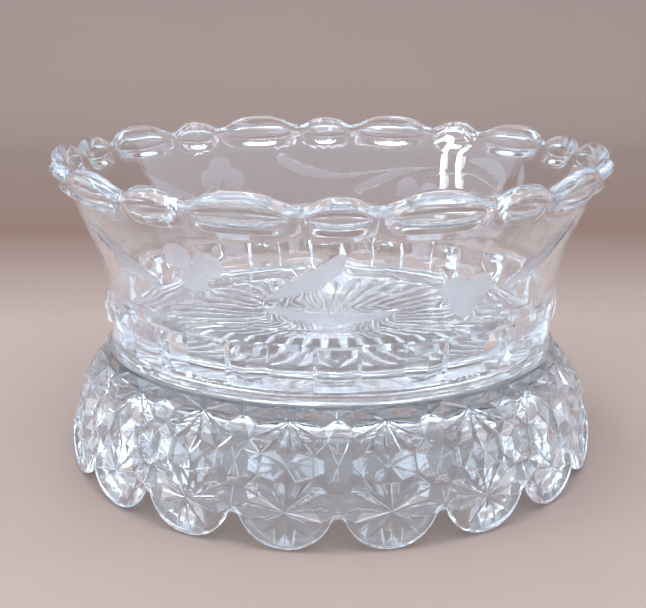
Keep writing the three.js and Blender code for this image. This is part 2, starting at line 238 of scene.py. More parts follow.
@dataclass
class RoundTheAxis:
    """Geometry nodes that repeat one sector of the glass evenly round the upright axis."""

    weld: float = 0.002 * MILLIMETRE
    tree: bpy.types.NodeTree = field(init=False)

    def __post_init__(self) -> None:
        """Builds the tree once; every ring of sectors uses it."""
        self.tree = bpy.data.node_groups.new("round_the_axis", "GeometryNodeTree")
        inputs = {"Sector": "Geometry", "Count": "Int", "Weld": "Float", "Finish": "Material"}
        for name, kind in inputs.items():
            self.tree.interface.new_socket(name, in_out="INPUT", socket_type=f"NodeSocket{kind}")
        self.tree.interface.new_socket("Ring", in_out="OUTPUT", socket_type="NodeSocketGeometry")
        self._wire()

    def _wire(self) -> None:
        """Links points, turns, instances and the weld."""
        wiring = Wiring(self.tree)
        given = wiring.node("NodeGroupInput")
        made = wiring.node("NodeGroupOutput")
        points = wiring.node("GeometryNodePoints")
        index = wiring.node("GeometryNodeInputIndex")
        pitch = wiring.node("ShaderNodeMath", {0: math.tau}, operation="DIVIDE")
        turn = wiring.node("ShaderNodeMath", operation="MULTIPLY")
        upright = wiring.node("ShaderNodeCombineXYZ")
        copies = wiring.node("GeometryNodeInstanceOnPoints")
        realize = wiring.node("GeometryNodeRealizeInstances")
        merge = wiring.node("GeometryNodeMergeByDistance")
        dress = wiring.node("GeometryNodeSetMaterial")
        wiring.link(
            (given, "Count", points, "Count"),
            (given, "Count", pitch, 1),
            (index, "Index", turn, 0),
            (pitch, "Value", turn, 1),
            (turn, "Value", upright, "Z"),
            (points, "Points", copies, "Points"),
            (given, "Sector", copies, "Instance"),
            (upright, "Vector", copies, "Rotation"),
            (copies, "Instances", realize, "Geometry"),
            (realize, "Geometry", merge, "Geometry"),
            (given, "Weld", merge, "Distance"),
            (merge, "Geometry", dress, "Geometry"),
            (given, "Finish", dress, "Material"),
            (dress, "Geometry", made, "Ring"),
        )

    def repeat(self, sector: Shell, count: int, finish: bpy.types.Material) -> bpy.types.Mesh:
        """Repeats a sector.

        Args:
            sector: One sector, whose two sides lie a full pitch apart.
            count: How many sectors make the ring.
            finish: The material of the ring.

        Returns:
            The whole ring as a plain mesh.
        """
        holder = added("sector", sector.mesh("sector"))
        holder.data.materials.append(finish)
        modifier = holder.modifiers.new("round_the_axis", "NODES")
        modifier.node_group = self.tree
        values = {"Count": count, "Weld": self.weld, "Finish": finish}
        for item in self.tree.interface.items_tree:
            if item.name in values:
                modifier[item.identifier] = values[item.name]
        graph = bpy.context.evaluated_depsgraph_get()
        ring = bpy.data.meshes.new_from_object(holder.evaluated_get(graph))
        bpy.data.objects.remove(holder)
        return ring


@dataclass(frozen=True)
class Finishing:
    """What every finish shares: a name and a principled shader."""

    name: str

    def start(self, inputs: Inputs) -> tuple[bpy.types.Material, Wiring, bpy.types.Node]:
        """Starts the material.

        Args:
            inputs: Constant values on the shader's own sockets.

        Returns:
            The material, its wiring and its shader.
        """
        material = bpy.data.materials.new(self.name)
        material.use_nodes = True
        wiring = Wiring(material.node_tree)
        return material, wiring, wiring.fill(wiring.tree.nodes["Principled BSDF"], inputs)


@dataclass(frozen=True)
class ClearGlass(Finishing):
    """Pressed glass: a faint cool tint, a slightly uneven surface and the haze of long use."""

    clearness: float
    tint: Colour = (0.98, 0.99, 1.0)
    refraction: float = 1.54
    roughness: Spot = (0.0, 0.015)
    haze_scale: float = 60.0
    haze_reach: Spot = (0.35, 0.7)
    ripple_scale: float = 110.0
    ripple_height: float = 0.00004

    def material(self) -> bpy.types.Material:
        """Returns the material, whose haze and ripples follow the object's own coordinates."""
        material, wiring, shader = self.start({
            "Base Color": (*self.tint, 1.0),
            "IOR": self.refraction,
            "Transmission Weight": self.clearness,
        })
        where = wiring.node("ShaderNodeTexCoord")
        haze = wiring.node("ShaderNodeTexNoise", {"Scale": self.haze_scale})
        spread = wiring.node("ShaderNodeMapRange", {
            "From Min": self.haze_reach[0],
            "From Max": self.haze_reach[1],
            "To Min": self.roughness[0],
            "To Max": self.roughness[1],
        })
        ripple = wiring.node("ShaderNodeTexNoise", {"Scale": self.ripple_scale})
        bump = wiring.node("ShaderNodeBump", {"Distance": self.ripple_height})
        wiring.link(
            (where, "Object", haze, "Vector"),
            (haze, "Fac", spread, "Value"),
            (spread, "Result", shader, "Roughness"),
            (where, "Object", ripple, "Vector"),
            (ripple, "Fac", bump, "Height"),
            (bump, "Normal", shader, "Normal"),
        )
        return material


@dataclass(frozen=True)
class FrostedGlass(ClearGlass):
    """The grey floor of a wheel cut, with the fine grain that the wheel leaves."""

    clearness: float = 0.88
    tint: Colour = (0.94, 0.94, 0.97)
    roughness: Spot = (0.32, 0.52)
    haze_scale: float = 1800.0
    haze_reach: Spot = (0.0, 1.0)
    ripple_scale: float = 1800.0
    ripple_height: float = 0.00002


@dataclass(frozen=True)
class PaleBoard(Finishing):
    """The plain matt board under and behind the object, with painted shade that darkens it towards the
    back, deepest in a band on the floor in front of the cove.
    """

    near: Colour = (0.296, 0.208, 0.165)
    # painted shade: near is the board's own colour, middle the darkest band of painted shade on the
    # floor, far the painted shade further back and up the cove
    middle: Colour = (0.163, 0.088, 0.06)
    far: Colour = (0.236, 0.158, 0.126)
    # painted shade: the span of Y in metres over which the board darkens, and the share of it where the
    # painted shade is darkest
    turn: Spot = (0.16, 0.84)
    darkest_shade_at: float = 0.32
    mottle: float = 0.03
    mottle_scale: float = 6.0
    roughness: float = 0.85

    def material(self) -> bpy.types.Material:
        """Returns the material, whose painted shade follows how far back a place lies."""
        material, wiring, shader = self.start({"Roughness": self.roughness})
        where = wiring.node("ShaderNodeTexCoord")
        apart = wiring.node("ShaderNodeSeparateXYZ")
        start, end = self.turn
        back = wiring.node("ShaderNodeMapRange", {"From Min": start, "From Max": end})
        # painted shade: a ramp from the board's own colour to darker painted shade towards the back
        board_and_shade = self._ramp(wiring, self.near, self.far)
        board_and_shade.color_ramp.elements.new(self.darkest_shade_at).color = (*self.middle, 1.0)
        noise = wiring.node("ShaderNodeTexNoise", {"Scale": self.mottle_scale})
        mottle = self._ramp(wiring, (1 - self.mottle,) * 3, (1 + self.mottle,) * 3)
        product = wiring.node("ShaderNodeVectorMath", operation="MULTIPLY")
        wiring.link(
            (where, "Object", apart, "Vector"),
            (apart, "Y", back, "Value"),
            (back, "Result", board_and_shade, "Fac"),
            (where, "Object", noise, "Vector"),
            (noise, "Fac", mottle, "Fac"),
            (board_and_shade, "Color", product, 0),
            (mottle, "Color", product, 1),
            (product, "Vector", shader, "Base Color"),
        )
        return material

    @staticmethod
    def _ramp(wiring: Wiring, low: Colour, high: Colour) -> bpy.types.Node:
        """Returns a colour ramp from one colour to another."""
        ramp = wiring.node("ShaderNodeValToRGB")
        for element, colour in zip(ramp.color_ramp.elements, (low, high)):
            element.color = (*colour, 1.0)
        return ramp


def joined(name: str, meshes: list[bpy.types.Mesh], finishes: Finishes) -> bpy.types.Object:
    """Joins rings of glass to one closed piece with outward faces.

    Args:
        name: The name of the piece.
        meshes: The rings, whose edges meet, each with its own flat or smooth faces.
        finishes: The materials in the order of Finish.

    Returns:
        The finished object at the origin.
    """
    shell = bmesh.new()
    for mesh in meshes:
        shell.from_mesh(mesh)
        bpy.data.meshes.remove(mesh)
    bmesh.ops.remove_doubles(shell, verts=shell.verts, dist=MERGED * MILLIMETRE)
    bmesh.ops.recalc_face_normals(shell, faces=shell.faces)
    if shell.calc_volume(signed=True) < 0:
        bmesh.ops.reverse_faces(shell, faces=shell.faces)
    open_edges = sum(not edge.is_manifold for edge in shell.edges)
    for edge in shell.edges:
        edge.smooth = edge.calc_face_angle(0.0) < SHARP_ANGLE
    piece_mesh = bpy.data.meshes.new(name)
    shell.to_mesh(piece_mesh)
    shell.free()
    for finish in finishes:
        piece_mesh.materials.append(finish)
    piece = added(name, piece_mesh)
    weighted = piece.modifiers.new("flat facets", "WEIGHTED_NORMAL")
    weighted.weight = FACET_WEIGHT
    weighted.keep_sharp = True
    log.info("%s: %d faces, %d open edges", name, len(piece_mesh.polygons), open_edges)
    return piece


@dataclass(frozen=True)
class Knot:
    """A point of the stand's pattern.

    Across is in millimetres at the dome's widest radius, up is along the dome's arc, and depth
    is how far the point lies below the dome's surface.
    """

    across: float
    up: float
    depth: float = 0.0


Facet = tuple[Knot, Knot, Knot]


@dataclass
class Stand:
    """The domed stand: daisies and buttons outside, a smooth hollow inside."""

    radius: float
    height: float
    top_radius: float = 84.0
    bulge_height: float = 8.0
    wall: float = 5.0
    top_thickness: float = 5.5
    hollow_corner: float = 9.0
    scallops: int = 18
    notch_height: float = 11.4
    arch_radius: float = 2.5
    tip_cut: float = 0.3
    edge_band: float = 2.6
    daisy_height: float = 13.2
    upper_daisy_drop: float = 2.7
    button_width: float = 16.0
    button_table: float = 9.0
    button_depth: float = 1.9
    daisy_depth: float = 1.4
    petal_depth: float = 2.5
    petal_deepest: float = 0.6
    petal_shoulder: float = 0.76
    shoulder_depth: float = 0.3
    top_round: float = 0.45
    ease: float = 0.45
    ease_limit: float = 0.4
    ease_share: float = 0.5
    rim_petal_depth: float = 0.6
    rim_petal_share: float = 0.3
    rim_ridge_share: float = 0.68
    top_bend: tuple[Spot, ...] = ((0.7, 0.3), (1.7, 0.0))
    top_shares: tuple[float, ...] = (0.8, 0.5, 0.25, 0.0)
    ceiling_shares: tuple[float, ...] = (0.8, 0.55, 0.3, 0.0)
    hollow_start: float = 3.0
    edge_tuck: float = 0.3
    edge_steps: int = 10
    arch_steps: int = 5
    scallop_steps: int = 12
    border_steps: int = 4

    @property
    def half_pitch(self) -> float:
        """Half the turn of one scallop, in degrees."""
        return 180 / self.scallops

    @property
    def half_cell(self) -> float:
        """Half the width of one scallop at the widest radius."""
        return self.radius * math.radians(self.half_pitch)

    @property
    def dome_radius(self) -> float:
        """Radius of the arc that the dome's outside follows."""
        rise, drop = self.height - self.bulge_height, self.radius - self.top_radius
        return (rise**2 + drop**2) / (2 * drop)

    @property
    def dome_axis(self) -> float:
        """How far from the axis the middle of that arc lies."""
        return self.radius - self.dome_radius

    def arc_to(self, height: float) -> float:
        """Returns the distance along the dome from its widest place up to a height."""
        return self.dome_radius * math.asin((height - self.bulge_height) / self.dome_radius)

    def on_dome(self, up: float, depth: float) -> Spot:
        """Returns the radius and height of a place on the dome."""
        lean = up / self.dome_radius
        reach = self.dome_radius - depth
        return self.dome_axis + reach * math.cos(lean), self.bulge_height + reach * math.sin(lean)

    def dome_at(self, height: float, depth: float) -> float:
        """Returns the radius of the dome at a height, a depth below its surface."""
        lean = math.asin((height - self.bulge_height) / (self.dome_radius - depth))
        return self.dome_axis + (self.dome_radius - depth) * math.cos(lean)

    def place(self, knot: Knot) -> Place:
        """Returns where a knot lies, with across counted from the middle of a daisy."""
        radius, height = self.on_dome(knot.up, knot.depth)
        azimuth = self.half_pitch + knot.across * self.half_pitch / self.half_cell
        return polar(radius, azimuth, max(height, 0.0))

    @property
    def daisy_up(self) -> float:
        """Where the lower daisies' middles lie."""
        return self.arc_to(self.daisy_height)

    @property
    def upper_daisy_up(self) -> float:
        """Where the upper daisies' middles lie."""
        return self.arc_to(self.height - self.upper_daisy_drop)

    @property
    def button_up(self) -> float:
        """Where the buttons' middles lie."""
        return (self.daisy_up + self.upper_daisy_up) / 2

    def outline(self, inset: float, arch_steps: int, scallop_steps: int) -> list[Spot]:
        """Draws half the scallop's outline, from the top of the gap to the scallop's middle.

        Args:
            inset: How far inside the edge the line runs.
            arch_steps: Steps round the gap.
            scallop_steps: Steps round the scallop.

        Returns:
            Pairs of across and up.
        """
        floor = self.arc_to(0.0)
        gap = self.arc_to(self.notch_height) - floor + self.tip_cut
        scallop_radius = (self.half_cell**2 + gap**2) / (2 * gap) - self.arch_radius
        scallop_up = floor - self.tip_cut + scallop_radius
        arch_up = self.arc_to(self.notch_height) - self.arch_radius
        arch, reach = self.arch_radius + inset, scallop_radius - inset
        meet = math.atan2(arch_up - scallop_up, self.half_cell)
        flat = math.acos(1 - self.tip_cut / scallop_radius) - math.pi / 2
        gap_side = arc((self.half_cell, arch_up), (arch, arch), math.pi / 2, math.pi + meet, arch_steps)
        scallop = arc((0.0, scallop_up), (reach, reach), meet, flat, scallop_steps)
        return [*gap_side[:-1], *scallop, (0.0, scallop_up - reach)]

    def octagon(self, width: float, depth: float) -> list[Knot]:
        """Returns the left half of a button's octagon, from its lowest knot to its highest."""
        flat = width / 2
        corner = flat * math.tan(math.pi / 8)
        turns = [
            (0, -flat), (-corner, -flat), (-flat, -corner), (-flat, 0),
            (-flat, corner), (-corner, flat), (0, flat),
        ]
        return [Knot(self.half_cell + across, self.button_up + up, depth) for across, up in turns]

    @staticmethod
    def between(first: Knot, second: Knot, share: float, depth: float) -> Knot:
        """Returns a knot a share of the way from one knot to another, at its own depth."""
        return Knot(mix(first.across, second.across, share), mix(first.up, second.up, share), depth)

    def shoulder(self, middle: Knot, first: Knot, second: Knot) -> Knot:
        """Returns the end of the ridge between two petals."""
        end = self.between(first, second, 0.5, 0.0)
        return self.between(middle, end, self.petal_shoulder, self.shoulder_depth)

    def fan(self, middle: Knot, line: list[Knot]) -> list[Facet]:
        """Returns the petals round a daisy's middle, where tips and ridge ends take turns."""
        facets: list[Facet] = []
        for index in range(0, len(line), 2):
            deepest = self.between(middle, line[index], self.petal_deepest, self.petal_depth)
            for ridge in line[max(index - 1, 0):index + 2]:
                if ridge is not line[index]:
                    facets += [(middle, deepest, ridge), (deepest, line[index], ridge)]
        return facets

    def petals(self, middle: Knot, tips: list[Knot], further: list[Knot]) -> list[Facet]:
        """Draws the part of a daisy that lies beside a button.

        Args:
            middle: The daisy's middle.
            tips: The tips of its petals, with a ridge between each two.
            further: More ridge ends and tips that follow the last tip.

        Returns:
            The petals, and the slopes that run from the ridges' ends out to the tips.
        """
        line, slopes = [tips[0]], []
        for first, second in zip(tips, tips[1:]):
            ridge = self.shoulder(middle, first, second)
            line += [ridge, second]
            slopes.append((ridge, second, first))
        return self.fan(middle, line + further) + slopes

    def lower_daisy(self, foot: list[Knot], border: list[Knot]) -> list[Facet]:
        """Returns half of a daisy on a scallop and the slopes between it and the button."""
        middle = Knot(0, self.daisy_up, self.daisy_depth)
        meeting = Knot(0, self.button_up)
        corners = [(foot[2], foot[3], meeting), (border[0], foot[0], foot[1])]
        return self.petals(middle, [meeting, foot[2], foot[1], border[0]], border[1:]) + corners

    def rim_knots(self) -> list[Knot]:
        """Returns the knots where the pattern is cut off under the flat top."""
        cut = self.arc_to(self.height - self.top_round)
        return [
            Knot(0, cut, self.rim_petal_depth),
            Knot(self.half_cell * self.rim_petal_share, cut),
            Knot(self.half_cell * self.rim_ridge_share, cut, self.shoulder_depth),
            Knot(self.half_cell, cut),
        ]

    def upper_daisy(self, foot: list[Knot]) -> list[Facet]:
        """Returns half of a daisy that the flat top cuts off, with the slopes round it."""
        middle = Knot(0, self.upper_daisy_up, self.daisy_depth)
        meeting = Knot(0, self.button_up)
        side = Knot(self.half_cell, self.upper_daisy_up)
        rim = self.rim_knots()
        deepest = self.between(middle, side, self.petal_deepest, self.petal_depth)
        return self.petals(middle, [side, foot[5], foot[4], meeting], []) + [
            (meeting, foot[3], foot[4]),
            (foot[5], foot[6], side),
            (middle, rim[1], rim[0]),
            (middle, rim[2], rim[1]),
            (side, rim[3], rim[2]),
            (middle, deepest, rim[2]),
            (deepest, side, rim[2]),
        ]

    def button(self, foot: list[Knot]) -> list[Facet]:
        """Returns half of a button: its sloping sides and its clear window."""
        table = self.octagon(self.button_table, 0.0)
        middle = Knot(self.half_cell, self.button_up)
        facets: list[Facet] = []
        for side in range(1, len(foot)):
            facets.append((foot[side - 1], table[side - 1], table[side]))
            facets.append((foot[side - 1], table[side], foot[side]))
            facets.append((middle, table[side], table[side - 1]))
        return facets

    @staticmethod
    def turned(knots: list[Knot], side: int) -> list[Knot]:
        """Returns knots as they are for side 1, and their mirror images for side -1."""
        return [Knot(side * knot.across, knot.up, knot.depth) for knot in knots]

    def numbered(self, knots: list[Knot]) -> Row:
        """Returns the places of knots as a row, numbered in order."""
        return [(index, self.place(knot)) for index, knot in enumerate(knots)]

    def turned_section(self, section: list[Spot], knots: list[Knot]) -> list[Row]:
        """Returns a section's radii and heights as rows, at the azimuths of some knots."""
        turns = [self.half_pitch * (1 + knot.across / self.half_cell) for knot in knots]
        rows = []
        for radius, height in section:
            rows.append([(index, polar(radius, turn, height)) for index, turn in enumerate(turns)])
        return rows

    def border(self) -> list[Knot]:
        """Returns the line where the lower daisy's petals end, drawn with few knots."""
        return [Knot(*spot) for spot in self.outline(self.edge_band, 1, self.border_steps)]

    def pattern(self) -> Shell:
        """Returns one scallop's daisies and buttons as plain facets."""
        foot = self.octagon(self.button_width, self.button_depth)
        facets = self.lower_daisy(foot, self.border()) + self.upper_daisy(foot) + self.button(foot)
        shell = Shell()
        for facet in facets:
            for side in (1, -1):
                shell.face(*(self.place(knot) for knot in self.turned(list(facet), side)))
        return shell

    def eased(self, ring: bpy.types.Mesh) -> Shell:
        """Rounds the edges between facets a little, as the fire polish does.

        Every facet is drawn in from its edges, and the edge itself sinks towards the facets
        round it. The outermost edges stay where they are.

        Args:
            ring: The whole pattern as triangles, in metres. It is used up.

        Returns:
            The pattern with narrow rounded strips along its edges.
        """
        places = [Vector(corner.co) / MILLIMETRE for corner in ring.vertices]
        insets: list[list[Vector]] = []
        near: dict[int, list[Vector]] = {index: [] for index in range(len(places))}
        edges: dict[frozenset[int], int] = {}
        triangles = [tuple(polygon.vertices) for polygon in ring.polygons]
        for triangle in triangles:
            a, b, c = (places[index] for index in triangle)
            sides = ((b - c).length, (c - a).length, (a - b).length)
            around = sum(sides)
            middle = (a * sides[0] + b * sides[1] + c * sides[2]) / around
            inner = (b - a).cross(c - a).length / around
            share = 1 - min(self.ease / inner, self.ease_limit)
            inset = [middle + (corner - middle) * share for corner in (a, b, c)]
            insets.append(inset)
            for index, corner in zip(triangle, inset):
                near[index].append(corner)
            for pair in zip(triangle, triangle[1:] + triangle[:1]):
                edges[frozenset(pair)] = edges.get(frozenset(pair), 0) + 1
        fixed = {index for pair, uses in edges.items() if uses == 1 for index in pair}
        sunk = list(places)
        for index, corners in near.items():
            if corners and index not in fixed:
                mean = sum(corners, Vector()) / len(corners)
                sunk[index] = places[index].lerp(mean, self.ease_share)
        shell = Shell()
        for triangle, inset in zip(triangles, insets):
            shell.face(*(tuple(corner) for corner in inset))
            for side in range(3):
                ahead = (side + 1) % 3
                outer = (sunk[triangle[side]], sunk[triangle[ahead]])
                inner_pair = (inset[ahead], inset[side])
                shell.face(*(tuple(corner) for corner in (*outer, *inner_pair)))
        bpy.data.meshes.remove(ring)
        return shell

    def edge_rows(self) -> list[list[Knot]]:
        """Returns the rounded edge, from the pattern's border round to the inside."""
        band = self.edge_band - self.edge_tuck
        rows = []
        for angle in steps(0, 180, self.edge_steps):
            lean = math.radians(angle)
            depth = self.wall / 2 * (1 - math.cos(lean))
            line = self.outline(band * (1 - math.sin(lean)), self.arch_steps, self.scallop_steps)
            rows.append([Knot(across, up, depth) for across, up in line])
        return rows

    def hollow_rows(self, edge: list[Knot]) -> list[Row]:
        """Returns the smooth inside, from the scalloped edge up to the middle of the ceiling."""
        ceiling = self.height - self.top_thickness
        springing = ceiling - self.hollow_corner
        low = self.arc_to(self.notch_height + self.edge_band + self.hollow_start)
        rows = []
        for share in steps(0, 1, 4)[1:]:
            knots = [Knot(knot.across, mix(knot.up, low, share), self.wall) for knot in edge]
            rows.append(self.numbered(knots))
        start = self.on_dome(low, self.wall)[1]
        section = [(self.dome_at(z, self.wall), z) for z in steps(start, springing, 5)[1:]]
        corner, flat = self.hollow_corner, self.dome_at(springing, self.wall) - self.hollow_corner
        section += arc((flat, springing), (corner, corner), 0, math.pi / 2, 8)[1:]
        section += [(flat * share, ceiling) for share in self.ceiling_shares]
        return rows + self.turned_section(section, edge)

    def smooth_sector(self) -> Shell:
        """Returns what isn't faceted in one scallop: its edge, the hollow and the flat top."""
        shell = Shell()
        knots = self.edge_rows()
        for side in (1, -1):
            edge = [self.numbered(self.turned(row, side)) for row in knots]
            shell.strip(self.border_row(self.turned(self.border(), side)), edge[0])
            shell.sweep(edge)
            shell.sweep([edge[-1], *self.hollow_rows(self.turned(knots[-1], side))])
            shell.sweep(self.top_rows(self.turned(self.rim_knots(), side)))
        return shell

    def border_row(self, border: list[Knot]) -> Row:
        """Spreads the few knots of the border evenly among the many of the edge beside it."""
        first, last = self.arch_steps, self.arch_steps + self.scallop_steps
        numbers = [0, *range(first, last + 1, self.scallop_steps // self.border_steps), last + 1]
        return list(zip(numbers, (self.place(knot) for knot in border)))

    def top_rows(self, rim: list[Knot]) -> list[Row]:
        """Returns the rounded upper rim and the flat top, from the pattern to the axis."""
        edge = self.dome_at(self.height, 0.0)
        section = []
        for inward, down in self.top_bend:
            section.append((edge - inward * self.top_round, self.height - down * self.top_round))
        section += [(edge * share, self.height) for share in self.top_shares]
        return [self.numbered(rim), *self.turned_section(section, rim)]

    def build(self, ring: RoundTheAxis, finishes: Finishes) -> bpy.types.Object:
        """Makes the stand.

        Args:
            ring: The nodes that repeat a sector.
            finishes: The glass finishes, in the order of Finish.

        Returns:
            The finished piece.
        """
        clear = finishes[Finish.CLEAR]
        facets = self.eased(ring.repeat(self.pattern(), self.scallops, clear))
        smooth = ring.repeat(self.smooth_sector(), self.scallops, clear)
        smooth.shade_smooth()
        return joined("stand_glass", [facets.mesh("pattern"), smooth], finishes)


@dataclass(frozen=True)
class Lobe:
    """One kind of lobe of the rim: half its turn in degrees, its rise and its thumbprint."""

    middle: float
    half: float
    rise: float
    print_half_width: float
    print_half_height: float
    print_depth: float


@dataclass
class Bowl:
    """The bowl, whose heights count from the underside of its foot."""

    rim_radius: float
    height: float
    seat: float
    foot_radius: float = 82.4
    foot_land: float = 4.6
    foot_height: float = 4.2
    recess_height: float = 1.6
    recess_slope: float = 1.8
    floor_thickness: float = 5.0
    floor_corner: float = 8.0
    wall: float = 4.0
    band_wall: float = 6.2
    inside_bend: Spot = (0.35, 0.6)
    panels: int = 18
    band_height: float = 15.7
    band_foot_proud: float = 0.4
    band_top_proud: float = 2.9
    post_width: float = 12.4
    post_depth: float = 2.4
    post_shares: tuple[float, ...] = (0.0, 0.35, 0.7)
    window_depth: float = 0.8
    window_bevel: float = 1.3
    bevel_foot: Spot = (0.25, 0.96)
    pillow: tuple[Spot, ...] = ((0.0, 0.0), (0.2, 0.06), (0.6, 0.1), (1.0, 0.12))
    band_bevel: float = 1.5
    post_gable: float = 4.0
    collar_height: float = 5.6
    collar_shares: tuple[float, ...] = (0.12, 0.5, 0.85, 1.0)
    collar_hollow: float = 0.5
    waist_proud: float = 1.8
    flare_bend: float = 1.38
    lobe_pairs: int = 10
    small_lobe_width: float = 24.4
    large_rise: float = 4.5
    small_rise: float = 3.3
    lobe_height: float = 9.5
    lobe_proud: float = 2.0
    lobe_inside: float = 0.8
    lobe_fullness: float = 1.5
    lobe_swell: float = 1.5
    beside_print: tuple[float, ...] = (0.15, 0.4, 0.65, 0.85)
    above_print: tuple[float, ...] = (0.35, 0.7)
    print_height: float = 62.7
    crest: float = 3.0
    star_rays: int = 45
    star_radius: float = 65.0
    star_hub: float = 4.0
    star_depth: float = 1.3
    star_reach: tuple[float, ...] = (9, 16, 24, 32, 40, 48, 54, 58, 60.5, 62.3, 63.8)
    star_deep_from: float = 26.0
    star_fade: float = 6.0
    small_print: tuple[float, float, float] = (9.2, 2.8, 1.2)
    large_print: tuple[float, float, float] = (15.0, 3.2, 1.4)
    wall_rows: int = 12
    wall_columns: int = 144
    seam: Spot = (-160.0, -162.0)
    seam_width: float = 0.001

    @property
    def band_top(self) -> float:
        """Height of the band's upper edge."""
        return self.foot_height + self.band_height

    @property
    def waist(self) -> float:
        """Height of the crease under the flared wall."""
        return self.band_top + self.collar_height

    @property
    def notch(self) -> float:
        """Height of the notches between the lobes."""
        return self.height - self.large_rise

    @property
    def lobe_foot(self) -> float:
        """Height where the lobes begin to swell."""
        return self.notch - self.lobe_height

    @property
    def floor(self) -> float:
        """Height of the floor inside the bowl."""
        return self.recess_height + self.floor_thickness

    @property
    def band_inside(self) -> float:
        """Radius of the inside behind the band."""
        return self.foot_radius + self.band_top_proud - self.band_wall

    def wall_radius(self, height: float) -> float:
        """Returns the outer radius of the flared wall at a height."""
        share = max(height - self.waist, 0.0) / (self.notch - self.waist)
        waist_radius = self.foot_radius + self.waist_proud
        flare_radius = self.rim_radius - self.lobe_proud
        return mix(waist_radius, flare_radius, min(share, 1.0) ** self.flare_bend)

    def raised(self, radius: float, azimuth: float, height: float) -> Place:
        """Returns a place on the bowl where it stands on the stand."""
        return polar(radius, azimuth, height + self.seat)

    def level(self, radius: float, height: float, turns: list[float]) -> Row:
        """Returns a row of places at one radius and height, one at each azimuth."""
        return [(turn, self.raised(radius, turn, height)) for turn in turns]

    def star_sector(self) -> Shell:
        """Returns one ray of the star, a flute that ends round, with the ridges beside it."""
        half = 180 / self.star_rays
        end_round = math.radians(half) * self.star_radius
        turns = steps(-half, half, 8)
        rows = [self.level(0.0, self.recess_height, turns)]
        for radius in (self.star_hub, *self.star_reach, self.star_radius):
            row = []
            for turn in turns:
                off = abs(turn) / half
                end = self.star_radius - end_round * (1 - math.sqrt(1 - off**2))
                fade = min(max((end - radius) / self.star_fade, 0.0), 1.0)
                deep = math.sqrt(fade) * min(radius / self.star_deep_from, 1.0)
                height = self.recess_height + self.star_depth * (1 - off**2) * deep
                row.append((turn, self.raised(radius, turn, height)))
            rows.append(row)
        return Shell().sweep(rows)

    def band_turns(self) -> list[tuple[float, float, bool]]:
        """Returns the band's columns: azimuth, depth below the ridges, and whether it is a post."""
        pitch = 360 / self.panels
        per_degree = math.radians(self.foot_radius)
        post = self.post_width / 2 / per_degree
        pane = post + self.window_bevel / per_degree
        columns = [(post * share, self.post_depth * share, True) for share in self.post_shares]
        share, depth_share = self.bevel_foot
        columns.append((post, self.post_depth, False))
        columns.append((mix(post, pane, share), self.post_depth * depth_share, False))
        for share, rise in self.pillow:
            columns.append((mix(pane, pitch / 2, share), self.window_depth - rise, False))
        back = [(pitch - turn, depth, on_post) for turn, depth, on_post in columns[-2::-1]]
        return columns + back

    def band_radius(self, height: float) -> float:
        """Returns the radius of the posts' ridges at a height."""
        share = (height - self.foot_height) / self.band_height
        return self.foot_radius + mix(self.band_foot_proud, self.band_top_proud, share)

    def band_row(self, height: float, share: float, ridge_share: float) -> Row:
        """Returns one level of the band.

        Args:
            height: The level's height.
            share: How much of their depth the windows have here.
            ridge_share: How far the posts' ridges stand out here.
        """
        plain = self.post_depth / 2
        row = []
        for turn, depth, post in self.band_turns():
            if post:
                local = mix(mix(plain, self.post_depth, share), depth, ridge_share)
            else:
                local = mix(plain, depth, share)
            row.append((turn, self.raised(self.band_radius(height) - local, turn, height)))
        return row

    def foot_profile(self) -> list[Spot]:
        """Returns the section of the foot ring, from the recess round to the band."""
        inside = self.foot_radius - self.foot_land
        recess = inside - self.recess_slope
        return [
            (recess - 3, self.recess_height),
            (recess - 0.6, self.recess_height),
            (inside - self.recess_slope * 0.7, self.recess_height * 0.75),
            (inside - 0.4, 0.25),
            (inside + 0.4, 0.0),
            (self.foot_radius - 0.7, 0.0),
            (self.foot_radius - 0.2, 0.2),
            (self.foot_radius, 0.8),
            (self.foot_radius + 0.1, self.foot_height - 0.7),
        ]

    def base_sector(self) -> Shell:
        """Returns one panel of the base: underside, foot ring, band and collar."""
        columns = [turn for turn, _, _ in self.band_turns()]
        rows = [self.level(self.star_radius, self.recess_height, steps(0, 360 / self.panels, 20))]
        rows += [self.level(radius, height, columns) for radius, height in self.foot_profile()]
        rows += [
            self.band_row(self.foot_height, 0, 0),
            self.band_row(self.foot_height + self.band_bevel, 1, 0),
            self.band_row(self.foot_height + self.post_gable, 1, 1),
            self.band_row(self.band_top - self.post_gable, 1, 1),
            self.band_row(self.band_top - self.band_bevel, 1, 0),
            self.band_row(self.band_top, 0, 0),
        ]
        shoulder = self.band_radius(self.band_top) - self.post_depth / 2
        waist_radius = self.wall_radius(self.waist)
        for share in self.collar_shares:
            hollow = self.collar_hollow * math.sin(math.pi * share)
            radius = mix(shoulder, waist_radius, share) - hollow
            rows.append(self.level(radius, mix(self.band_top, self.waist, share), columns))
        return Shell().sweep(rows)

    def lobes(self) -> tuple[Lobe, Lobe]:
        """Returns the small lobe over the front and the large one beside it."""
        pitch = 360 / self.lobe_pairs
        small = self.small_lobe_width / 2 / math.radians(self.rim_radius)
        return (
            Lobe(0.0, small, self.small_rise, *self.small_print),
            Lobe(pitch / 2, pitch / 2 - small, self.large_rise, *self.large_print),
        )

    def lens(self, lobe: Lobe) -> float:
        """Returns how much of its lobe's width a thumbprint takes."""
        return lobe.print_half_width / (lobe.half * math.radians(self.rim_radius))

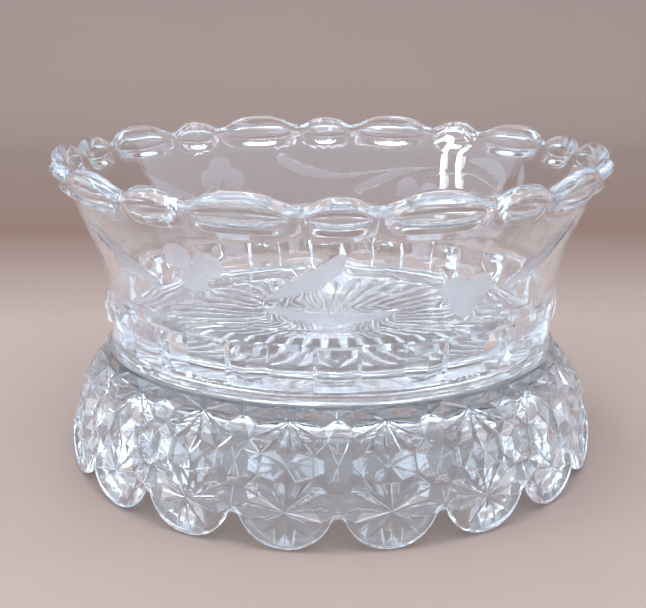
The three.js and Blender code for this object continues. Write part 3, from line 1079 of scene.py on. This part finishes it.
    def rim_columns(self) -> list[tuple[float, float, Lobe]]:
        """Returns azimuth, place across the lobe from -1 to 1, and lobe, for one pair of lobes."""
        columns = []
        for lobe in self.lobes():
            lens = self.lens(lobe)
            side = [1 - (1 - share) * (1 - lens) for share in self.beside_print]
            offs = [-1.0] + [-value for value in reversed(side)]
            offs += [lens * math.sin(angle) for angle in steps(-math.pi / 2, math.pi / 2, 20)]
            columns += [(lobe.middle + off * lobe.half, off, lobe) for off in offs + side]
        first_azimuth, off, lobe = columns[0]
        return columns + [(first_azimuth + 360 / self.lobe_pairs, off, lobe)]

    def fullness(self, off: float) -> float:
        """Returns how full a lobe is at a place across it, 0 at the notches and 1 in the middle."""
        return math.cos(math.pi / 2 * min(abs(off), 1.0) ** self.lobe_fullness) ** 2

    def rim_profile(self, off: float, lobe: Lobe) -> list[Spot]:
        """Returns the section through the rim: outside up, over the crest and down inside."""
        full = self.fullness(off)
        inside_lens = math.sqrt(max(1 - (off / self.lens(lobe)) ** 2, 0.0))
        opening = lobe.print_half_height * inside_lens
        turn_over = self.notch + lobe.rise * full - self.crest

        def outside(height: float, swell: float = 1.0) -> float:
            """Returns the radius of the lobe's outside at a height."""
            return self.wall_radius(height) + self.lobe_proud * full * swell

        def inside(height: float, swell: float = 1.0) -> float:
            """Returns the radius of the lobe's inside at a height."""
            return self.wall_radius(height) - self.wall - self.lobe_inside * full * swell

        profile = []
        for share in steps(0, 1, 8):
            height = mix(self.lobe_foot, self.print_height - opening, share)
            swell = math.sin(math.pi / 2 * share) ** self.lobe_swell
            profile.append((outside(height, swell), height))
        for angle in steps(-math.pi / 2, math.pi / 2, 10)[1:]:
            height = self.print_height + opening * math.sin(angle)
            hollow = lobe.print_depth * (1 - (1 - (inside_lens * math.cos(angle)) ** 2) ** 2)
            profile.append((outside(height) - hollow, height))
        for share in self.above_print:
            height = mix(self.print_height + opening, turn_over, share)
            profile.append((outside(height), height))
        outer, inner = outside(turn_over), inside(turn_over)
        middle, half = (outer + inner) / 2, (outer - inner) / 2
        profile += arc((middle, turn_over), (half, self.crest), 0, math.pi, 12)
        for share in steps(0, 1, 8)[1:]:
            height = mix(turn_over, self.lobe_foot, share)
            profile.append((inside(height, math.cos(math.pi / 2 * share) ** 2), height))
        return profile

    def inside_profile(self) -> list[Spot]:
        """Returns the inside from under the lobes down to the middle of the floor."""
        heights = steps(self.lobe_foot, self.waist, 10)[1:]
        profile = [(self.wall_radius(height) - self.wall, height) for height in heights]
        corner = self.floor_corner
        springing, flat = self.floor + corner, self.band_inside - corner
        aside, down = self.inside_bend
        profile.append((self.band_inside + aside, mix(self.waist, springing, down)))
        profile += arc((flat, springing), (corner, -corner), 0, math.pi / 2, 10)
        return profile + [(flat * share, self.floor) for share in (0.8, 0.6, 0.4, 0.2, 0.0)]

    def rim_sector(self) -> Shell:
        """Returns one pair of lobes and the inside below them."""
        columns = []
        for azimuth, off, lobe in self.rim_columns():
            profile = self.rim_profile(off, lobe) + self.inside_profile()
            places = [self.raised(radius, azimuth, height) for radius, height in profile]
            columns.append([(azimuth, place) for place in places])
        return Shell().sweep([list(row) for row in zip(*columns)])

    def wall_outline(self, per_degree: float) -> list[Spot]:
        """Returns the unrolled wall's outline: along the crease, up, back under the lobes, down."""
        low, high = self.seam
        posts = [turn for turn, _, _ in self.band_turns()]
        lobes = [azimuth for azimuth, _, _ in self.rim_columns()]
        sides = self.wall_levels(per_degree)
        outline = [(turn * per_degree, self.waist) for turn in self.whole_turn(posts, self.panels, low)]
        outline += [level[-1] for level in sides]
        above = self.whole_turn(lobes, self.lobe_pairs, high)
        outline += [(turn * per_degree, self.lobe_foot) for turn in reversed(above)]
        return outline + [level[0] for level in reversed(sides)]

    def wall_levels(self, per_degree: float) -> list[list[Spot]]:
        """Returns the even rows of spots that fill the unrolled wall."""
        levels = []
        for share in steps(0, 1, self.wall_rows)[1:-1]:
            start, height = mix(*self.seam, share), mix(self.waist, self.lobe_foot, share)
            turns = steps(start, start + 360, self.wall_columns)
            levels.append([(turn * per_degree, height) for turn in turns])
        return levels

    def wall_ring(self, cuts: "Cutting") -> Shell:
        """Returns the flared wall between the crease and the lobes, with its cutting."""
        per_degree = cuts.per_degree
        spots = self.wall_outline(per_degree)
        around = list(range(len(spots)))
        for level in self.wall_levels(per_degree):
            spots += [spot for spot in level[1:-1] if cuts.clear_of(spot)]
        edges: list[tuple[int, int]] = []
        for line, closed in cuts.lines():
            numbers = list(range(len(spots), len(spots) + len(line)))
            spots += line
            edges += zip(numbers, numbers[1:])
            if closed:
                edges.append((numbers[-1], numbers[0]))
        flat = [Vector(spot) for spot in spots]
        corners, _, faces, _, _, _ = delaunay_2d_cdt(flat, edges, [around], 1, SAME_SPOT, False)
        places = []
        for corner in corners:
            radius = self.wall_radius(corner.y) - cuts.depth((corner.x, corner.y))
            places.append(self.raised(radius, corner.x / per_degree, corner.y))
        shell = Shell()
        for face in faces:
            if all(self.on_seam(corners[index], per_degree) for index in face):
                continue
            middle = sum((corners[index] for index in face), Vector((0, 0))) / len(face)
            finish = Finish.FROSTED if cuts.depth(tuple(middle)) > 0 else Finish.CLEAR
            shell.face(*(places[index] for index in face), finish=finish)
        return shell

    def on_seam(self, corner: Vector, per_degree: float) -> bool:
        """Returns whether a corner of the unrolled wall lies on its left or right side."""
        side = mix(*self.seam, (corner.y - self.waist) / (self.lobe_foot - self.waist))
        away = (corner.x / per_degree - side) % 360
        return min(away, 360 - away) < self.seam_width

    @staticmethod
    def whole_turn(sector: list[float], count: int, seam: float) -> list[float]:
        """Repeats a sector's azimuths for a whole turn that begins and ends at the seam."""
        pitch = 360 / count
        turns = set()
        for copy in range(-count, count + 1):
            for azimuth in sector:
                value = round(azimuth + copy * pitch, 9)
                if seam <= value <= seam + 360:
                    turns.add(value)
        return sorted(turns)

    def build(self, ring: RoundTheAxis, cuts: "Cutting", finishes: Finishes) -> bpy.types.Object:
        """Makes the bowl.

        Args:
            ring: The nodes that repeat a sector.
            cuts: The frosted cutting on the flared wall.
            finishes: The glass finishes, in the order of Finish.

        Returns:
            The finished piece.
        """
        clear = finishes[Finish.CLEAR]
        meshes = [
            ring.repeat(self.star_sector(), self.star_rays, clear),
            self.wall_ring(cuts).mesh("wall"),
            ring.repeat(self.rim_sector(), self.lobe_pairs, clear),
        ]
        for mesh in meshes:
            mesh.shade_smooth()
        base = ring.repeat(self.base_sector(), self.panels, clear)
        return joined("bowl_glass", [*meshes, base], finishes)


@dataclass(frozen=True)
class Berry:
    """A nearly round cut, at its place across and up the unrolled wall, in millimetres."""

    across: float
    up: float
    radius: float = 5.2
    squash: float = 0.86
    depth: float = 0.45
    rings: tuple[float, ...] = (1.0, 0.72, 0.4)

    def lines(self) -> list[Line]:
        """Returns the outline and the inner rings, as closed lines."""
        return [(self.circle(self.radius * share), True) for share in self.rings]

    def circle(self, reach: float) -> list[Spot]:
        """Returns a squashed circle round the middle."""
        high = reach * self.squash
        return arc((self.across, self.up), (reach, high), 0, math.tau, 24)[:-1]

    def away(self, spot: Spot) -> float:
        """Returns how far a spot lies from the middle, with heights stretched to make a circle."""
        return math.hypot(spot[0] - self.across, (spot[1] - self.up) / self.squash)

    def cut(self, spot: Spot) -> float:
        """Returns the depth of the cut at a spot, 0 outside."""
        return self.depth * max(1 - (self.away(spot) / self.radius) ** 2, 0.0)

    def gap(self, spot: Spot) -> float:
        """Returns how far a spot lies outside the cut."""
        return self.away(spot) - self.radius


@dataclass(frozen=True)
class Leaf:
    """A long cut along a curve through knots on the unrolled wall, pointed at both ends."""

    knots: tuple[Spot, ...]
    width: float
    depth: float
    fullest: float
    samples: int = 18
    taper: float = 0.8

    @cached_property
    def centre(self) -> list[Spot]:
        """The middle line, a smooth curve through the knots."""
        padded = [self.knots[0], *self.knots, self.knots[-1]]
        spans = len(self.knots) - 1
        line = []
        for index in range(self.samples + 1):
            whole = index / self.samples * spans
            span = min(int(whole), spans - 1)
            line.append(tuple(self.blend(*four, whole - span) for four in zip(*padded[span:span + 4])))
        return line

    @staticmethod
    def blend(a: float, b: float, c: float, d: float, share: float) -> float:
        """Returns a value on the curve between b and c that a and d bend."""
        square, cube = share**2, share**3
        low = -a + 3 * b - 3 * c + d
        return 0.5 * (2 * b + (c - a) * share + (2 * a - 5 * b + 4 * c - d) * square + low * cube)

    def half_width(self, share: float) -> float:
        """Returns half the width at a share of the length."""
        bend = math.log(0.5) / math.log(self.fullest)
        return self.width / 2 * math.sin(math.pi * share**bend) ** self.taper

    def outline(self) -> list[Spot]:
        """Returns the closed line round the leaf."""
        line = self.centre
        left, right = [], []
        for index in range(1, self.samples):
            (ax, ay), (x, y), (bx, by) = line[index - 1:index + 2]
            run = math.hypot(bx - ax, by - ay)
            half = self.half_width(index / self.samples)
            aside, above = (ay - by) / run * half, (bx - ax) / run * half
            left.append((x + aside, y + above))
            right.append((x - aside, y - above))
        return [line[0], *left, line[-1], *reversed(right)]

    def lines(self) -> list[Line]:
        """Returns the outline and the middle line."""
        return [(self.outline(), True), (self.centre[1:-1], False)]

    def away_and_half(self, spot: Spot) -> tuple[float, float]:
        """Returns how far a spot lies from the middle line, and half the width there."""
        nearest, half = math.inf, 0.0
        for index, ((ax, ay), (bx, by)) in enumerate(zip(self.centre, self.centre[1:])):
            run = max((bx - ax) ** 2 + (by - ay) ** 2, SHORTEST**2)
            along = ((spot[0] - ax) * (bx - ax) + (spot[1] - ay) * (by - ay)) / run
            along = min(max(along, 0.0), 1.0)
            away = math.hypot(spot[0] - mix(ax, bx, along), spot[1] - mix(ay, by, along))
            if away < nearest:
                nearest, half = away, self.half_width((index + along) / self.samples)
        return nearest, half

    def cut(self, spot: Spot) -> float:
        """Returns the depth of the cut at a spot, 0 outside."""
        away, half = self.away_and_half(spot)
        if half < SHORTEST or away >= half:
            return 0.0
        return self.depth * (2 * half / self.width) * (1 - (away / half) ** 2)

    def gap(self, spot: Spot) -> float:
        """Returns how far a spot lies outside the cut."""
        away, half = self.away_and_half(spot)
        return away - half


@dataclass
class Cutting:
    """The frosted berries, leaves and stems on the flared wall, unrolled to a flat strip."""

    per_degree: float
    motifs: list[Berry | Leaf]
    low: float
    high: float
    border: float = 0.7
    clearance: float = 0.9

    def lines(self) -> list[Line]:
        """Returns every line of the cutting, kept off the strip's border."""
        low, high = self.low + self.border, self.high - self.border
        lines = []
        for motif in self.motifs:
            for line, closed in motif.lines():
                lines.append(([(across, min(max(up, low), high)) for across, up in line], closed))
        return lines

    def depth(self, spot: Spot) -> float:
        """Returns how deep the glass is cut at a spot, with nothing on the border itself."""
        if not self.low + MERGED < spot[1] < self.high - MERGED:
            return 0.0
        return max((motif.cut(spot) for motif in self.motifs), default=0.0)

    def clear_of(self, spot: Spot) -> bool:
        """Returns whether a spot lies well outside every cut."""
        return all(motif.gap(spot) > self.clearance for motif in self.motifs)


def berries(per_degree: float) -> list[Berry]:
    """Returns the round cuts, three and three together, from azimuths and heights."""
    places = [
        (-33.0, 47.2), (-26.3, 45.2), (-30.5, 39.7),
        (24.8, 37.0), (30.8, 37.0), (28.2, 31.3),
        (-149.2, 49.6), (-145.6, 45.0), (-152.6, 44.6),
        (155.5, 40.2), (148.6, 38.7), (152.0, 33.7),
    ]
    return [Berry(azimuth * per_degree, up) for azimuth, up in places]


def leaves_and_stems(per_degree: float) -> list[Leaf]:
    """Returns the long cuts, each from its azimuths and heights, its width, depth and fullest place."""
    cuts = [
        (((194.0, 52.6), (187.4, 47.2), (178.0, 44.2), (170.0, 44.6)), 4.6, 0.4, 0.27),
        (((172.0, 38.0), (165.0, 42.5), (157.0, 47.2), (150.0, 49.0)), 3.6, 0.4, 0.35),
        (((179.5, 44.3), (170.0, 45.2), (160.0, 47.6), (147.0, 49.6)), 0.8, 0.3, 0.45),
        (((138.5, 53.8), (130.5, 53.0), (125.5, 48.8), (126.0, 42.5)), 4.6, 0.4, 0.45),
        (((152.0, 45.0), (139.0, 48.4), (131.0, 46.2), (124.0, 42.5)), 0.8, 0.3, 0.45),
        (((120.0, 55.5), (119.0, 51.0), (117.5, 45.5)), 3.4, 0.4, 0.6),
        (((-123.0, 54.0), (-127.0, 47.0), (-134.0, 40.5), (-141.0, 37.0)), 4.6, 0.4, 0.6),
        (((1.0, 51.5), (-1.5, 46.0), (-7.5, 40.6), (-15.0, 35.2)), 6.0, 0.4, 0.45),
        (((-16.0, 32.3), (-5.0, 29.6), (4.0, 29.4), (13.0, 31.5)), 3.6, 0.4, 0.45),
        (((38.0, 35.0), (47.0, 40.0), (55.0, 48.0), (60.0, 54.0)), 5.0, 0.4, 0.45),
        (((-40.0, 35.0), (-48.0, 40.0), (-57.0, 47.0), (-64.0, 54.0)), 5.0, 0.4, 0.45),
        (((66.0, 54.0), (76.0, 47.0), (88.0, 42.0), (99.0, 41.0)), 5.0, 0.4, 0.45),
        (((-70.0, 42.0), (-82.0, 46.0), (-95.0, 45.0), (-108.0, 38.0)), 5.0, 0.4, 0.45),
    ]
    return [Leaf(tuple((azimuth * per_degree, up) for azimuth, up in line), *cut) for line, *cut in cuts]


@dataclass(frozen=True)
class Lamp:
    """A soft rectangular lamp, sized across and along, that looks at the object."""

    name: str
    place: Place
    size: Spot
    power: float
    colour: Colour

    def build(self, target: Vector) -> bpy.types.Object:
        """Makes the lamp and turns it towards a target."""
        data = bpy.data.lights.new(self.name, "AREA")
        data.shape = "RECTANGLE"
        data.size, data.size_y = self.size
        data.energy = self.power
        data.color = self.colour
        lamp = added(self.name, data)
        lamp.location = self.place
        lamp.rotation_euler = (target - Vector(self.place)).to_track_quat("-Z", "Y").to_euler()
        lamp.visible_camera = False
        return lamp


CEILING_LIGHT = (0.74, 0.86, 1.0)
WINDOW_LIGHT = (0.86, 0.93, 1.0)
PANEL_LIGHT = (0.64, 0.81, 1.0)
LAMPS = (
    Lamp("ceiling_panel", (-0.05, -0.45, 1.25), (0.95, 0.6), 6.0, CEILING_LIGHT),
    Lamp("ceiling_tube", (-0.1, 0.0, 1.15), (1.0, 0.12), 3.6, CEILING_LIGHT),
    Lamp("front_tube", (0.1, -0.85, 1.25), (0.9, 0.12), 3.6, CEILING_LIGHT),
    Lamp("back_tube", (0.0, 0.4, 0.95), (1.0, 0.08), 2.8, CEILING_LIGHT),
    Lamp("left_window", (-0.9, -0.15, 0.6), (0.05, 0.3), 1.2, WINDOW_LIGHT),
    Lamp("left_window_beside", (-0.86, -0.3, 0.6), (0.05, 0.3), 1.2, WINDOW_LIGHT),
    Lamp("right_window", (0.75, -0.1, 0.95), (0.06, 0.4), 1.6, WINDOW_LIGHT),
    Lamp("low_panel_left", (-0.85, -0.49, 0.25), (0.4, 0.34), 2.6, PANEL_LIGHT),
    Lamp("low_panel_front_left", (-0.36, -0.94, 0.25), (0.22, 0.34), 1.5, PANEL_LIGHT),
    Lamp("low_panel_front_right", (0.33, -0.96, 0.25), (0.22, 0.34), 1.5, PANEL_LIGHT),
    Lamp("low_panel_right", (0.85, -0.51, 0.25), (0.4, 0.34), 2.2, PANEL_LIGHT),
    Lamp("low_panel_far_left", (-0.95, 0.15, 0.22), (0.6, 0.4), 2.0, PANEL_LIGHT),
    Lamp("low_panel_far_right", (0.95, 0.15, 0.22), (0.6, 0.4), 0.8, PANEL_LIGHT),
)


@dataclass
class Studio:
    """The camera, the pale floor that curves up behind the object, and the lamps, in metres."""

    camera_place: Place = (-0.01096, -0.41846, 0.1723)
    camera_tilt: float = 74.13
    camera_turn: float = -1.1
    camera_nearest: float = 0.01
    lens: float = 63.51
    sensor: float = 36.0
    floor_front: float = -80.0
    floor_back: float = 0.75
    floor_side: float = 80.0
    cove_radius: float = 0.3
    cove_height: float = 1.3
    cove_steps: int = 16
    board: PaleBoard = PaleBoard("pale_board_painted_shade")
    lamps: tuple[Lamp, ...] = LAMPS
    lamp_target: Place = (0.0, 0.0, 0.05)
    sky: Colour = (0.72, 0.84, 1.0)
    sky_strength: float = 1.62
    inner_reflections: int = 24

    def camera(self) -> None:
        """Makes the camera that sees the object as the picture does."""
        data = bpy.data.cameras.new("camera")
        data.lens = self.lens
        data.sensor_width = self.sensor
        data.clip_start = self.camera_nearest
        camera = added("camera", data)
        camera.location = self.camera_place
        tilt, turn = math.radians(self.camera_tilt), math.radians(self.camera_turn)
        camera.rotation_euler = Euler((tilt, 0.0, turn))
        bpy.context.scene.camera = camera

    def backdrop(self) -> bpy.types.Object:
        """Makes the floor and the wall that it curves up into behind the object."""
        profile = [(self.floor_front, 0.0), (0.0, 0.0), (self.floor_back, 0.0)]
        middle = (self.floor_back, self.cove_radius)
        profile += arc(middle, (self.cove_radius,) * 2, -math.pi / 2, 0, self.cove_steps)[1:]
        profile.append((self.floor_back + self.cove_radius, self.cove_height))
        rows = []
        for back, height in profile:
            sides = [(side, back, height) for side in (-self.floor_side, 0.0, self.floor_side)]
            places = [tuple(value / MILLIMETRE for value in place) for place in sides]
            rows.append(list(enumerate(places)))
        mesh = Shell().sweep(rows).mesh("pale_floor")
        mesh.shade_smooth()
        mesh.materials.append(self.board.material())
        return added("pale_floor", mesh)

    def light(self) -> None:
        """Makes the lamps and the world."""
        for lamp in self.lamps:
            lamp.build(Vector(self.lamp_target))
        paths = bpy.context.scene.cycles
        paths.max_bounces = paths.glossy_bounces = paths.transmission_bounces = self.inner_reflections
        world = bpy.data.worlds.new("soft_sky")
        world.use_nodes = True
        sky = {"Color": (*self.sky, 1.0), "Strength": self.sky_strength}
        Wiring.fill(world.node_tree.nodes["Background"], sky)
        bpy.context.scene.world = world
        bpy.context.scene.view_settings.view_transform = "Standard"

    def build(self) -> bpy.types.Object:
        """Makes everything round the object and returns the floor."""
        self.camera()
        self.light()
        return self.backdrop()


def main() -> None:
    """Builds the stage and the two pieces, and ties each piece to its body."""
    logging.basicConfig(level=logging.INFO, format="%(name)s: %(message)s")
    floor = Studio().build()
    frosted = FrostedGlass("frosted_glass").material()
    stand_finishes = [ClearGlass("stand_clear_glass", clearness=0.968).material(), frosted]
    bowl_finishes = [ClearGlass("bowl_clear_glass", clearness=0.99).material(), frosted]
    ring = RoundTheAxis()

    stand_box = [millimetres(corner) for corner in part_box("stand")]
    bowl_box = [millimetres(corner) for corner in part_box("bowl")]
    stand = Stand(radius=98.6, height=stand_box[1].z)
    stand_piece = stand.build(ring, stand_finishes)
    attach(stand_piece, "stand")
    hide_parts("stand")

    bowl = Bowl(rim_radius=101.6, height=bowl_box[1].z - bowl_box[0].z, seat=bowl_box[0].z)
    per_degree = math.radians(bowl.wall_radius((bowl.waist + bowl.lobe_foot) / 2))
    motifs = [*berries(per_degree), *leaves_and_stems(per_degree)]
    cuts = Cutting(per_degree, motifs, bowl.waist, bowl.lobe_foot)
    bowl_piece = bowl.build(ring, cuts, bowl_finishes)
    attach(bowl_piece, "bowl")
    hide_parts("bowl")


if __name__ == "__main__":
    main()
